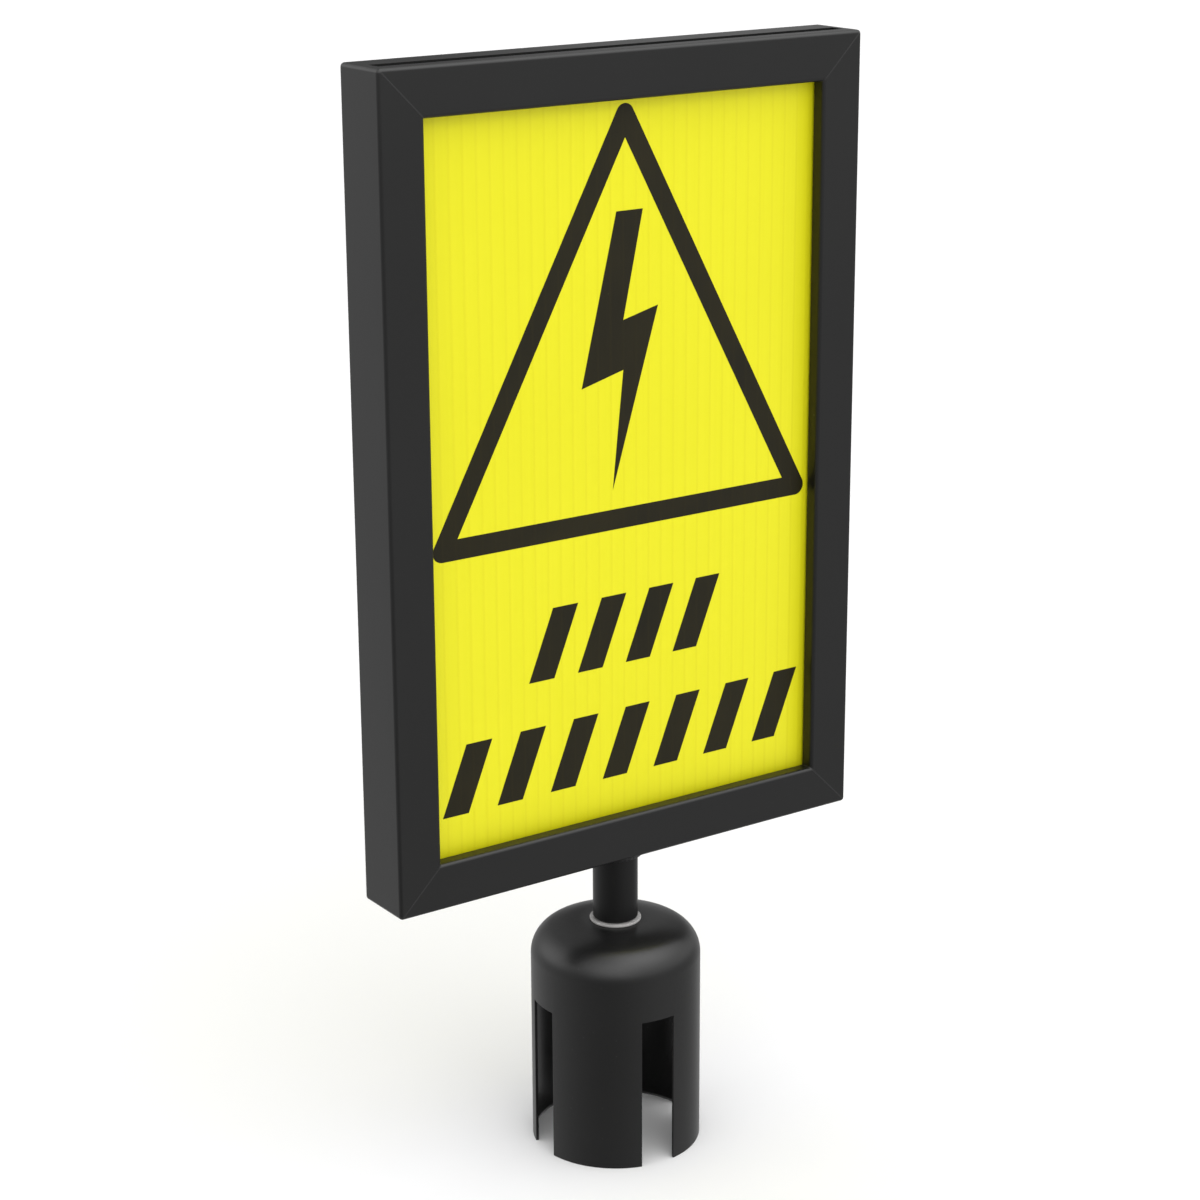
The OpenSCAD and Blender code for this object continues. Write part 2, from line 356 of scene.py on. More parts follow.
def zincMaterial(look):
    # bright zinc plate: cloudy tone, fine turning marks
    material, tree, shader = openMaterial("zincPlate", {"Metallic": 1.0})
    dust = effect(tree, "dust", {"Speck Scale": 500.0, "Speck Size": 0.1, "Film Scale": 220.0})
    base = mixColor(tree, dust["Film"], (look["dark"], look["dark"] * 1.01, look["dark"] * 1.04, 1.0),
                    (look["light"], look["light"] * 1.01, look["light"] * 1.03, 1.0))
    tree.links.new(mixColor(tree, dust["Specks"], base, grey(0.16, 0.05)), shader.inputs["Base Color"])
    roughen(tree, shader, dust["Film"], 0.24, 0.42)
    spot = put(tree, "ShaderNodeTexCoord").outputs["Object"]
    rings = put(tree, "ShaderNodeTexWave", {"Vector": spot, "Scale": 900.0, "Distortion": 3.0, "Detail": 2.0},
                wave_type="RINGS", rings_direction="Z")
    emboss(tree, shader, rings.outputs["Fac"], 0.006 * mm)
    return material


def sheetMaterial(look):
    # yellow polypropylene skin over upright ribs
    material, tree, shader = openMaterial("yellowSheet", {"Specular IOR Level": look["gloss"]})
    lines = effect(tree, "flutes", {"Pitch": look["pitch"], "First Rib": look["firstRib"]})
    dust = effect(tree, "dust", {"Speck Scale": 60.0, "Speck Size": 0.02, "Film Scale": 9.0})
    base = mixColor(tree, dust["Film"], look["yellow"], look["paleYellow"])
    ribbed = mixColor(tree, sums(tree, "MULTIPLY", lines["Rib"], look["ribShow"]), base, look["ribYellow"])
    streak = sums(tree, "MULTIPLY", lines["Streak"], look["streakShow"])
    streaky = mixColor(tree, streak, ribbed, look["ribYellow"])
    tree.links.new(streaky, shader.inputs["Base Color"])
    roughen(tree, shader, lines["Streak"], 0.40, 0.56)
    emboss(tree, shader, sums(tree, "MULTIPLY_ADD", lines["Streak"], 0.35, lines["Rib"]), look["relief"])
    return material


def inkMaterial(look):
    # screen-printed black that shows the ribs and a trace of the yellow under it
    material, tree, shader = openMaterial("printInk", {"Specular IOR Level": look["gloss"]})
    lines = effect(tree, "flutes", {"Pitch": look["pitch"], "First Rib": look["firstRib"]})
    dust = effect(tree, "dust", {"Speck Scale": 150.0, "Speck Size": 0.05, "Film Scale": 30.0})
    base = mixColor(tree, dust["Film"], look["ink"], look["thinInk"])
    ribbed = mixColor(tree, sums(tree, "MULTIPLY", lines["Rib"], 0.5), base, look["thinInk"])
    tree.links.new(mixColor(tree, sums(tree, "MULTIPLY", dust["Specks"], 0.35), ribbed, look["pinhole"]),
                   shader.inputs["Base Color"])
    roughen(tree, shader, lines["Streak"], 0.42, 0.58)
    emboss(tree, shader, lines["Rib"], look["relief"])
    return material


sheetLow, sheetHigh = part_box("sign_sheet")
sheet = {
    "skin": 0.5 * mm,
    "rib": 0.4 * mm,
    "pitch": 5.8 * mm,
    "sink": 0.045 * mm,          # how far the skin dips between two ribs
    "width": sheetHigh.x - sheetLow.x,
    "height": sheetHigh.z - sheetLow.z,
    "thickness": sheetHigh.y - sheetLow.y,
}
fluteCount = math.floor((sheet["width"] - sheet["rib"]) / sheet["pitch"])
firstRib = -fluteCount * sheet["pitch"] / 2

paints = {
    "frame": coatMaterial("framePowderCoat", frameCoat),
    "cap": coatMaterial("capPowderCoat", capCoat),
    "stem": coatMaterial("stemPowderCoat", stemCoat),
    "weld": coatMaterial("weldPowderCoat", weldCoat),
    "nylon": nylonMaterial({"dark": 0.40, "light": 0.52, "gloss": 0.45}),
    "zinc": zincMaterial({"dark": 0.42, "light": 0.62}),
    "sheet": sheetMaterial({
        "yellow": (0.81, 0.77, 0.006, 1.0), "paleYellow": (0.84, 0.80, 0.010, 1.0),
        "ribYellow": (0.74, 0.69, 0.004, 1.0), "ribShow": 0.45, "streakShow": 0.35, "gloss": 0.30,
        "relief": 0.02 * mm, "pitch": sheet["pitch"], "firstRib": firstRib}),
    "ink": inkMaterial({
        "ink": (0.007, 0.0058, 0.0010, 1.0), "thinInk": (0.014, 0.011, 0.0015, 1.0),
        "pinhole": (0.06, 0.055, 0.006, 1.0), "gloss": 0.22,
        "relief": 0.02 * mm, "pitch": sheet["pitch"], "firstRib": firstRib}),
}
print("materials built:", len(paints))


railLow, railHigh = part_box("frame_left_rail")
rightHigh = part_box("frame_right_rail")[1]
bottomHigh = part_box("frame_bottom_rail")[1]
weldLow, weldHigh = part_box("corner_welds")

rails = {
    "metal": 1.2 * mm,
    "bend": 1.5 * mm,
    "bendSteps": 6,
    "edge": 0.12 * mm,
    "corner": 1.6 * mm,          # radius of the frame's outer corners
    "cornerSteps": 5,
    "lip": 6.6 * mm,             # depth of the box in front of the sheet
    "channel": 6.5 * mm,         # room for the sheet between the two boxes
    "slotPlay": 1.5 * mm,        # room at each end of the insertion slot
    "weldProud": 0.06 * mm,
    "left": railLow.x, "right": rightHigh.x,
    "front": railLow.y, "back": railHigh.y,
    "foot": weldLow.z, "head": weldHigh.z,
    "face": railHigh.x - railLow.x,
    "mitreStep": rightHigh.x - bottomHigh.x,      # what each rail gives up along its length for the weld
}
rails["middle"] = (rails["foot"] + rails["head"]) / 2


def railOutline(size):
    # section of a rail as (depth, height above the outer web): front box, channel, back box
    depth = size["back"] - size["front"]
    face, bend, metal, steps = size["face"], size["bend"], size["metal"], size["bendSteps"]
    near = size["lip"]
    far = size["lip"] + size["channel"]
    outline = arc(bend, bend, bend, 180, 270, steps)
    outline += [(near, 0), (far, 0)]
    outline += arc(depth - bend, bend, bend, 270, 360, steps)
    outline += arc(depth - bend, face - bend, bend, 0, 90, steps)
    outline += arc(far + bend, face - bend, bend, 90, 180, steps)
    outline += [(far, metal), (near, metal)]
    outline += arc(near - bend, face - bend, bend, 0, 90, steps)
    outline += arc(bend, face - bend, bend, 90, 180, steps)
    boxes = [(metal, near - metal), (far + metal, depth - metal)]
    cavities = [[(a, metal), (b, metal), (b, face - metal), (a, face - metal)] for a, b in boxes]
    return outline, cavities, [(near, 0), (far, 0), (far, metal), (near, metal)]


def roundOff(spot, height):
    # draws a point near an outer corner of the frame in to its arc; height is the depth below the outer face
    x, y, z = spot
    radius = rails["corner"] - height
    coreX = (rails["right"] - rails["left"]) / 2 - rails["corner"]
    coreZ = (rails["head"] - rails["foot"]) / 2 - rails["corner"]
    fromX = x - (rails["left"] + rails["right"]) / 2
    fromZ = z - rails["middle"]
    overX, overZ = abs(fromX) - coreX, abs(fromZ) - coreZ
    past = math.hypot(overX, overZ)
    if min(overX, overZ, radius) > 0 and past > radius:
        excess = 1 - radius / past
        x -= math.copysign(overX * excess, fromX)
        z -= math.copysign(overZ * excess, fromZ)
    return x, y, z


def buildRail(name, length, spot, slotHalf=None):
    # spot turns (along, depth, height) into a place in the frame
    shape = bmesh.new()
    outline, cavities, throat = railOutline(rails)
    ends = []
    posts = {}
    for loop in [outline] + cavities:
        rows = []
        for depth, height in loop:
            reach = length / 2 - rails["mitreStep"] - height
            tail = [reach]
            if height < rails["metal"]:
                start, steps = length / 2 - rails["corner"], rails["cornerSteps"]
                tail = [start + (reach - start) * step / steps for step in range(steps + 1)]
            slot = [-slotHalf, slotHalf] if slotHalf and (depth, height) in throat else []
            stations = [-station for station in reversed(tail)] + slot + tail
            row = [shape.verts.new(roundOff(spot(station, depth, height), height)) for station in stations]
            posts[(depth, height)] = row[len(tail):-len(tail)]
            rows.append((row, len(tail)))
        for i, (row, tailCount) in enumerate(rows):
            beside, besideCount = rows[(i + 1) % len(rows)]
            if tailCount != besideCount:
                shape.faces.new(row + beside[::-1])
            else:
                for low in list(range(tailCount - 1)) + list(range(-tailCount, -1)):
                    high = low + 1
                    shape.faces.new((row[low], row[high], beside[high], beside[low]))
                core = slice(tailCount - 1, len(row) - tailCount + 1)
                besideCore = slice(tailCount - 1, len(beside) - tailCount + 1)
                inner, besideInner = row[core], beside[besideCore]
                if len(inner) == 4 and len(besideInner) == 4:
                    shape.faces.new((inner[0], inner[1], besideInner[1], besideInner[0]))
                    shape.faces.new((inner[2], inner[3], besideInner[3], besideInner[2]))
                else:
                    shape.faces.new(inner + besideInner[::-1])
            ends.append((row[0], beside[0]))
            ends.append((row[-1], beside[-1]))
    if slotHalf:
        nearOut, farOut, farIn, nearIn = [posts[corner] for corner in throat]
        shape.faces.new((nearOut[0], nearOut[1], nearIn[1], nearIn[0]))
        shape.faces.new((farOut[0], farOut[1], farIn[1], farIn[0]))
        for station in (0, 1):
            shape.faces.new((nearOut[station], farOut[station], farIn[station], nearIn[station]))
    for side in (0, 1):
        rim = [shape.edges.get(pair) for pair in ends[side::2]]
        bmesh.ops.triangle_fill(shape, use_beauty=True, use_dissolve=False, edges=rim)
    piece = newPiece(name, shape, paints["frame"])
    return softenEdges(piece, rails["edge"])


wide = rails["right"] - rails["left"]
tall = rails["head"] - rails["foot"]
railPlan = {
    "bottomRail": ("frame_bottom_rail", wide, None, lambda along, depth, height: (
        along, rails["front"] + depth, rails["foot"] + height)),
    "rightRail": ("frame_right_rail", tall, None, lambda along, depth, height: (
        rails["right"] - height, rails["front"] + depth, rails["middle"] + along)),
    "topRail": ("frame_top_rail", wide, sheetHigh.x + rails["slotPlay"], lambda along, depth, height: (
        -along, rails["front"] + depth, rails["head"] - height)),
    "leftRail": ("frame_left_rail", tall, None, lambda along, depth, height: (
        rails["left"] + height, rails["front"] + depth, rails["middle"] - along)),
}
for railName, (node, length, slotHalf, spot) in railPlan.items():
    hand(buildRail(railName, length, spot, slotHalf), "sign_frame", "frame_paint", node)
print("rails built")


def buildCornerWelds():
    # each mitre is filled by a slab that follows the section and stands a little proud in the middle
    shape = bmesh.new()
    outline = railOutline(rails)[0]
    count = len(outline)
    outward = []
    for i in range(count):
        before, after = Vector(outline[i - 1]), Vector(outline[(i + 1) % count])
        run = (after - before).normalized()
        outward.append((run.y, -run.x))
    step, proud = rails["mitreStep"], rails["weldProud"]
    for sideX, cornerX in ((-1, rails["left"]), (1, rails["right"])):
        for sideZ, cornerZ in ((-1, rails["foot"]), (1, rails["head"])):
            rings = [[], [], []]
            for (depth, height), (pushDepth, pushHeight) in zip(outline, outward):
                y = rails["front"] + depth
                x, z = cornerX - sideX * height, cornerZ - sideZ * height
                rise = pushHeight * proud
                spots = [(x - sideX * step, y, z),
                         (x - sideX * rise, y + pushDepth * proud, z - sideZ * rise),
                         (x, y, z - sideZ * step)]
                for ring, spot in zip(rings, spots):
                    ring.append(shape.verts.new(roundOff(spot, height)))
            for low, high in ((rings[0], rings[1]), (rings[1], rings[2])):
                for i in range(count):
                    j = (i + 1) % count
                    shape.faces.new((low[i], low[j], high[j], high[i]))
            for ring in (rings[0], rings[2]):
                rim = [shape.edges.get((ring[i], ring[(i + 1) % count])) for i in range(count)]
                bmesh.ops.triangle_fill(shape, use_beauty=True, use_dissolve=False, edges=rim)
    piece = newPiece("cornerWelds", shape, paints["weld"])
    shadeSmooth(piece, 50)
    markEdges(piece)
    return piece


hand(buildCornerWelds(), "sign_frame", "weld_paint", "corner_welds")
print("corner welds built")


capLow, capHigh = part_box("cap_shell")
cap = {
    "radius": (capHigh.x - capLow.x) / 2,
    "height": capHigh.z,
    "wall": 1.2 * mm,
    "shoulder": 12.4 * mm,
    "crown": 1.8 * mm,           # rise of the top from the shoulder to the seat
    "seat": 11.5 * mm,           # radius of the flat under the bush
    "hole": 5.53 * mm,
    "slotWidth": 14.4 * mm,
    "slotHeight": 62.8 * mm,
    "slots": 4,
    "turn": -95,                 # middle of the first slot, in degrees
    "legSteps": 28, "slotSteps": 8, "shoulderSteps": 14, "crownSteps": 8,
    "edge": 0.22 * mm,
}


def capColumns(size):
    # angles of the upright columns, outside and inside, and whether a slot follows each
    outer = math.asin(size["slotWidth"] / 2 / size["radius"])
    inner = math.asin(size["slotWidth"] / 2 / (size["radius"] - size["wall"]))
    spread = fullTurn / size["slots"]
    columns = []
    for slotIndex in range(size["slots"]):
        centre = math.radians(size["turn"]) + slotIndex * spread
        for i in range(size["slotSteps"]):
            share = 2 * i / size["slotSteps"] - 1
            columns.append((centre + outer * share, centre + inner * share, True, i == 0))
        for i in range(size["legSteps"]):
            share = i / size["legSteps"]
            columns.append((centre + outer + (spread - 2 * outer) * share,
                            centre + inner + (spread - 2 * inner) * share, False, i == 0))
    return columns


def capRows(size):
    # outside from the rim up and over to the hole, then the inside back down to the rim
    radius, height, wall, shoulder = size["radius"], size["height"], size["wall"], size["shoulder"]
    centre = (radius - shoulder, height - size["crown"] - shoulder)
    run = centre[0] - size["seat"]
    lean = 2 * math.atan(size["crown"] / run)      # slope where the crown meets the shoulder
    crownRadius = run / math.sin(lean) + shoulder
    join = 90 - math.degrees(lean)

    def overTop(inset):
        # shoulder, then the crown up to the seat, then the seat in to the hole
        row = arc(*centre, shoulder - inset, 0, join, size["shoulderSteps"])
        row += arc(size["seat"], height - crownRadius, crownRadius - inset, join, 90, size["crownSteps"])[1:]
        return row + [(size["hole"], height - inset)]

    outside = [(radius, 0), (radius, size["slotHeight"])] + overTop(0)
    inside = [(radius - wall, 0), (radius - wall, size["slotHeight"])] + overTop(wall)
    return outside, inside[::-1]


def buildCap(size):
    shape = bmesh.new()
    outside, inside = capRows(size)
    columns = capColumns(size)
    grid = []
    for outerAngle, innerAngle, _, _ in columns:
        column = [shape.verts.new((r * math.cos(outerAngle), r * math.sin(outerAngle), z)) for r, z in outside]
        column += [shape.verts.new((r * math.cos(innerAngle), r * math.sin(innerAngle), z)) for r, z in inside]
        grid.append(column)
    count = len(outside) + len(inside)
    cutAway = {0, count - 2, count - 1}       # wall outside, wall inside and rim below the slot's top
    for c, column in enumerate(grid):
        beside = grid[(c + 1) % len(grid)]
        inSlot, starts = columns[c][2:]
        for row in range(count):
            if inSlot and row in cutAway:
                continue
            below = (row + 1) % count
            shape.faces.new((column[row], beside[row], beside[below], column[below]))
        if inSlot:
            shape.faces.new((column[1], beside[1], beside[-2], column[-2]))
        if starts:
            shape.faces.new((column[0], column[1], column[-2], column[-1]))
    loose = [vert for vert in shape.verts if not vert.link_faces]
    bmesh.ops.delete(shape, geom=loose, context="VERTS")
    piece = newPiece("slottedCap", shape, paints["cap"])
    return softenEdges(piece, size["edge"])


hand(buildCap(cap), "post_cap", "cap_paint", "cap_shell")
print("cap built")


roundSteps = 96
stemLow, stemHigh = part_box("stem_tube")
stem = {"wall": 1.5 * mm, "chamfer": 0.8 * mm, "edge": 0.15 * mm,
        "radius": stemHigh.x, "foot": stemLow.z, "head": stemHigh.z}
stemOutline = [
    (stem["radius"] - stem["wall"], stem["foot"]),
    (stem["radius"] - stem["chamfer"], stem["foot"]),
    (stem["radius"], stem["foot"] + stem["chamfer"]),
    (stem["radius"], stem["head"]),
    (stem["radius"] - stem["wall"], stem["head"]),
]
stemPiece = softenEdges(newPiece("stemTube", turned(stemOutline, roundSteps), paints["stem"]), stem["edge"])
hand(stemPiece, "sign_frame", "stem_paint", "stem_tube")

beadLow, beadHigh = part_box("stem_weld")
bead = {"ripples": 34, "ripple": 0.10 * mm, "steps": 8, "leg": beadHigh.z - beadLow.z}
beadOutline = [(stem["radius"], beadHigh.z)]
beadOutline += arc(stem["radius"], beadHigh.z, bead["leg"], 270, 360, bead["steps"])


def rippled(radius, height, angle):
    # the bead's skin rises and falls as the scales of a weld do
    share = math.hypot(radius - stem["radius"], beadHigh.z - height) / bead["leg"]
    wave = abs(math.sin(bead["ripples"] * angle / 2 + share * 0.6)) - 1
    drop = bead["ripple"] * wave * (1 if share > 0.5 else 0)
    return radius + drop, min(height - drop, beadHigh.z)


beadPiece = newPiece("stemWeld", turned(beadOutline, roundSteps * 3, rippled), paints["weld"])
shadeSmooth(beadPiece, 50)
markEdges(beadPiece, 0)
hand(beadPiece, "sign_frame", "weld_paint", "stem_weld")

bushLow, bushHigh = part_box("swivel_bush")
bush = {"bore": 4.08 * mm, "sleeve": 5.48 * mm, "flangeFoot": capHigh.z, "edge": 0.28 * mm}
bushOutline = [
    (bush["bore"], bushLow.z), (bush["sleeve"], bushLow.z), (bush["sleeve"], bush["flangeFoot"]),
    (bushHigh.x, bush["flangeFoot"]), (bushHigh.x, bushHigh.z), (bush["bore"], bushHigh.z),
]
bushPiece = newPiece("swivelBush", turned(bushOutline, roundSteps), paints["nylon"])
softenEdges(bushPiece, bush["edge"], 3)
hand(bushPiece, "post_cap", "nylon", "swivel_bush")

# node: new name, bore radius, edge radius, body, slot, material
ringPlan = {
    "thrust_washer": ("thrustWasher", 4.08 * mm, 0.20 * mm, "post_cap", "nylon", "nylon"),
    "flat_washer": ("flatWasher", 4.40 * mm, 0.25 * mm, "sign_frame", "zinc_steel", "zinc"),
    "stem_plug": ("stemPlug", 4.03 * mm, 0.60 * mm, "sign_frame", "zinc_steel", "zinc"),
}
for node, (pieceName, bore, edge, body, slot, paint) in ringPlan.items():
    low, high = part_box(node)
    ringOutline = [(bore, low.z), (high.x, low.z), (high.x, high.z), (bore, high.z)]
    ringPiece = newPiece(pieceName, turned(ringOutline, roundSteps), paints[paint])
    hand(softenEdges(ringPiece, edge), body, slot, node)


def buildLockWasher():
    # square wire bent round the bolt, its two cut ends facing each other across the split
    low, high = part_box("lock_washer")
    lock = {"bore": 4.40 * mm, "wire": high.z - low.z, "edge": 0.22 * mm,
            "split": math.radians(12), "steps": 72}
    shape = bmesh.new()
    rings = []
    for step in range(lock["steps"] + 1):
        angle = lock["split"] + (fullTurn - lock["split"]) * step / lock["steps"]
        corners = [(lock["bore"], low.z), (lock["bore"] + lock["wire"], low.z),
                   (lock["bore"] + lock["wire"], high.z), (lock["bore"], high.z)]
        rings.append([shape.verts.new((r * math.cos(angle), r * math.sin(angle), z)) for r, z in corners])
    for here, there in zip(rings, rings[1:]):
        for i in range(4):
            j = (i + 1) % 4
            shape.faces.new((here[i], there[i], there[j], here[j]))
    shape.faces.new(rings[0])
    shape.faces.new(rings[-1])
    return softenEdges(newPiece("lockWasher", shape, paints["zinc"]), lock["edge"])


hand(buildLockWasher(), "sign_frame", "zinc_steel", "lock_washer")


def buildBolt():
    # chamfered hexagon head below, shank with a cut thread above
    low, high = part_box("clamp_bolt")
    bolt = {"flats": 13 * mm, "headHeight": 5.3 * mm, "faceRadius": 6.0 * mm,
            "chamferSlope": math.tan(math.radians(30)), "core": 3.40 * mm, "crest": 3.97 * mm,
            "pitch": 1.25 * mm, "tip": 3.2 * mm, "lead": 1.0 * mm, "steps": 48, "perTurn": 8}
    headTop = low.z + bolt["headHeight"]

    def hexRadius(angle):
        side = math.radians(60)
        return bolt["flats"] / 2 / math.cos((angle + side / 2) % side - side / 2)

    def headRow(height, dressed):
        row = []
        for step in range(bolt["steps"]):
            angle = fullTurn * step / bolt["steps"]
            radius = hexRadius(angle)
            drop = max(0, radius - bolt["faceRadius"]) * bolt["chamferSlope"] if dressed else 0
            row.append((radius, height + drop, angle))
        return row

    def roundRow(radius, height):
        return [(radius, height, fullTurn * step / bolt["steps"]) for step in range(bolt["steps"])]

    def threadRow(height):
        row = []
        for step in range(bolt["steps"]):
            angle = fullTurn * step / bolt["steps"]
            phase = ((height - headTop) / bolt["pitch"] - angle / fullTurn) % 1
            rise = min(1, max(0, 1.6 - 3.2 * abs(phase - 0.5)))
            start = min(1, (height - headTop) / bolt["lead"])
            finish = min(1, (high.z - height) / bolt["lead"])
            top = bolt["core"] + (bolt["crest"] - bolt["core"]) * min(start, finish)
            row.append((bolt["core"] + (top - bolt["core"]) * rise, height, angle))
        return row

    rows = [roundRow(bolt["faceRadius"] * 0.5, low.z), roundRow(bolt["faceRadius"], low.z),
            headRow(low.z, True), headRow(headTop, False), roundRow(bolt["core"], headTop)]
    turns = (high.z - headTop) / bolt["pitch"]
    rowCount = math.floor(turns * bolt["perTurn"])
    for i in range(1, rowCount):
        rows.append(threadRow(headTop + i * bolt["pitch"] / bolt["perTurn"]))
    rows.append(roundRow(bolt["tip"], high.z))
    shape = bmesh.new()
    grid = [[shape.verts.new((r * math.cos(a), r * math.sin(a), z)) for r, z, a in row] for row in rows]
    for here, there in zip(grid, grid[1:]):
        for i in range(bolt["steps"]):
            j = (i + 1) % bolt["steps"]
            shape.faces.new((here[i], here[j], there[j], there[i]))
    shape.faces.new(grid[0])
    shape.faces.new(grid[-1])
    piece = newPiece("clampBolt", shape, paints["zinc"])
    shadeSmooth(piece, 28)
    markEdges(piece, 0)
    return piece


hand(buildBolt(), "sign_frame", "zinc_steel", "clamp_bolt")
print("stem, bush and fasteners built")


def sheetTree():
    # block with dipped skins, less one cutter for each flute
    tree, given, leave = openTree(
        "flutedSheet", "GeometryNodeTree",
        [("Width", "NodeSocketFloat", 0.2), ("Thickness", "NodeSocketFloat", 5 * mm),
         ("Height", "NodeSocketFloat", 0.3), ("Flutes", "NodeSocketInt", 10),
         ("Pitch", "NodeSocketFloat", 5.8 * mm),
         ("Skin", "NodeSocketFloat", 0.5 * mm), ("Rib", "NodeSocketFloat", 0.4 * mm),
         ("Sink", "NodeSocketFloat", 0.05 * mm), ("Paint", "NodeSocketMaterial", None)],
        [("Geometry", "NodeSocketGeometry")])
    size = put(tree, "ShaderNodeCombineXYZ", {
        "X": given["Width"], "Y": given["Thickness"], "Z": given["Height"]})
    columns = sums(tree, "MULTIPLY_ADD", given["Flutes"], 10.0, 1.0)
    block = put(tree, "GeometryNodeMeshCube", {"Size": size.outputs[0], "Vertices X": columns})
    spot = put(tree, "GeometryNodeInputPosition").outputs[0]
    parts = put(tree, "ShaderNodeSeparateXYZ", {"Vector": spot})
    half = sums(tree, "MULTIPLY", given["Flutes"], 0.5)
    turns = sums(tree, "ADD", sums(tree, "DIVIDE", parts.outputs["X"], given["Pitch"]), half)
    wave = sums(tree, "COSINE", sums(tree, "MULTIPLY", turns, fullTurn))
    dip = sums(tree, "MULTIPLY", sums(tree, "SUBTRACT", wave, 1.0), sums(tree, "MULTIPLY", given["Sink"], 0.5))
    push = sums(tree, "MULTIPLY", dip, sums(tree, "SIGN", parts.outputs["Y"]))
    shift = put(tree, "ShaderNodeCombineXYZ", {"Y": push})
    skinned = put(tree, "GeometryNodeSetPosition", {
        "Geometry": block.outputs["Mesh"], "Offset": shift.outputs[0]})
    start = sums(tree, "MULTIPLY", given["Pitch"], sums(tree, "SUBTRACT", 0.5, half))
    row = put(tree, "GeometryNodeMeshLine", {
        "Count": given["Flutes"],
        "Start Location": put(tree, "ShaderNodeCombineXYZ", {"X": start}).outputs[0],
        "Offset": put(tree, "ShaderNodeCombineXYZ", {"X": given["Pitch"]}).outputs[0]})
    hollow = put(tree, "ShaderNodeCombineXYZ", {
        "X": sums(tree, "SUBTRACT", given["Pitch"], given["Rib"]),
        "Y": sums(tree, "MULTIPLY_ADD", given["Skin"], -2.0, given["Thickness"]),
        "Z": sums(tree, "MULTIPLY", given["Height"], 1.02)})
    cutter = put(tree, "GeometryNodeMeshCube", {"Size": hollow.outputs[0]})
    cutters = put(tree, "GeometryNodeInstanceOnPoints", {
        "Points": row.outputs[0], "Instance": cutter.outputs["Mesh"]})
    loose = put(tree, "GeometryNodeRealizeInstances", {"Geometry": cutters.outputs[0]})
    cut = put(tree, "GeometryNodeMeshBoolean", {"Mesh 1": skinned.outputs[0], "Mesh 2": loose.outputs[0]},
              operation="DIFFERENCE", solver="EXACT")
    solid = put(tree, "GeometryNodeRealizeInstances", {"Geometry": cut.outputs[0]})
    painted = put(tree, "GeometryNodeSetMaterial", {"Geometry": solid.outputs[0], "Material": given["Paint"]})
    tree.links.new(painted.outputs[0], leave.inputs["Geometry"])
    return tree


def barsTree():
    # a row of upright bars, leant over together
    tree, given, leave = openTree(
        "leaningBars", "GeometryNodeTree",
        [("Bars", "NodeSocketInt", 4), ("Pitch", "NodeSocketFloat", 0.02),
         ("Bar Width", "NodeSocketFloat", 0.01), ("Bar Height", "NodeSocketFloat", 0.03),
         ("Film", "NodeSocketFloat", 0.05 * mm),
         ("Lean", "NodeSocketFloat", 0.4), ("Paint", "NodeSocketMaterial", None)],
        [("Geometry", "NodeSocketGeometry")])
    gaps = sums(tree, "SUBTRACT", given["Bars"], 1.0)
    start = sums(tree, "MULTIPLY", sums(tree, "MULTIPLY", gaps, given["Pitch"]), -0.5)
    row = put(tree, "GeometryNodeMeshLine", {
        "Count": given["Bars"],
        "Start Location": put(tree, "ShaderNodeCombineXYZ", {"X": start}).outputs[0],
        "Offset": put(tree, "ShaderNodeCombineXYZ", {"X": given["Pitch"]}).outputs[0]})
    size = put(tree, "ShaderNodeCombineXYZ", {
        "X": given["Bar Width"], "Y": given["Film"], "Z": given["Bar Height"]})
    bar = put(tree, "GeometryNodeMeshCube", {"Size": size.outputs[0]})
    bars = put(tree, "GeometryNodeInstanceOnPoints", {
        "Points": row.outputs[0], "Instance": bar.outputs["Mesh"]})
    loose = put(tree, "GeometryNodeRealizeInstances", {"Geometry": bars.outputs[0]})
    parts = put(tree, "ShaderNodeSeparateXYZ", {"Vector": put(tree, "GeometryNodeInputPosition").outputs[0]})
    slide = put(tree, "ShaderNodeCombineXYZ", {"X": sums(tree, "MULTIPLY", parts.outputs["Z"], given["Lean"])})
    leant = put(tree, "GeometryNodeSetPosition", {"Geometry": loose.outputs[0], "Offset": slide.outputs[0]})
    painted = put(tree, "GeometryNodeSetMaterial", {"Geometry": leant.outputs[0], "Material": given["Paint"]})
    tree.links.new(painted.outputs[0], leave.inputs["Geometry"])
    return tree


def grow(name, tree, values, centre):
    # runs a geometry tree on an empty host and leaves its result as a plain mesh in its place
    piece = place(bpy.data.objects.new(name, bpy.data.meshes.new(name)))
    nodes = piece.modifiers.new("nodes", "NODES")
    nodes.node_group = tree
    for item in tree.interface.items_tree:
        if item.in_out == "INPUT" and item.name in values:
            nodes[item.identifier] = values[item.name]
    bake(piece)
    piece.data.transform(Matrix.Translation(centre))
    return piece


sheetCentre = (sheetLow + sheetHigh) / 2
sheetPiece = grow("flutedSheet", sheetTree(), {
    "Width": sheet["width"], "Thickness": sheet["thickness"], "Height": sheet["height"],
    "Flutes": fluteCount, "Pitch": sheet["pitch"], "Skin": sheet["skin"], "Rib": sheet["rib"],
    "Sink": sheet["sink"], "Paint": paints["sheet"]}, sheetCentre)
shadeSmooth(sheetPiece, 30)
hand(sheetPiece, "sign", "sign_plastic", "sign_sheet")
print("sheet built:", fluteCount, "flutes")

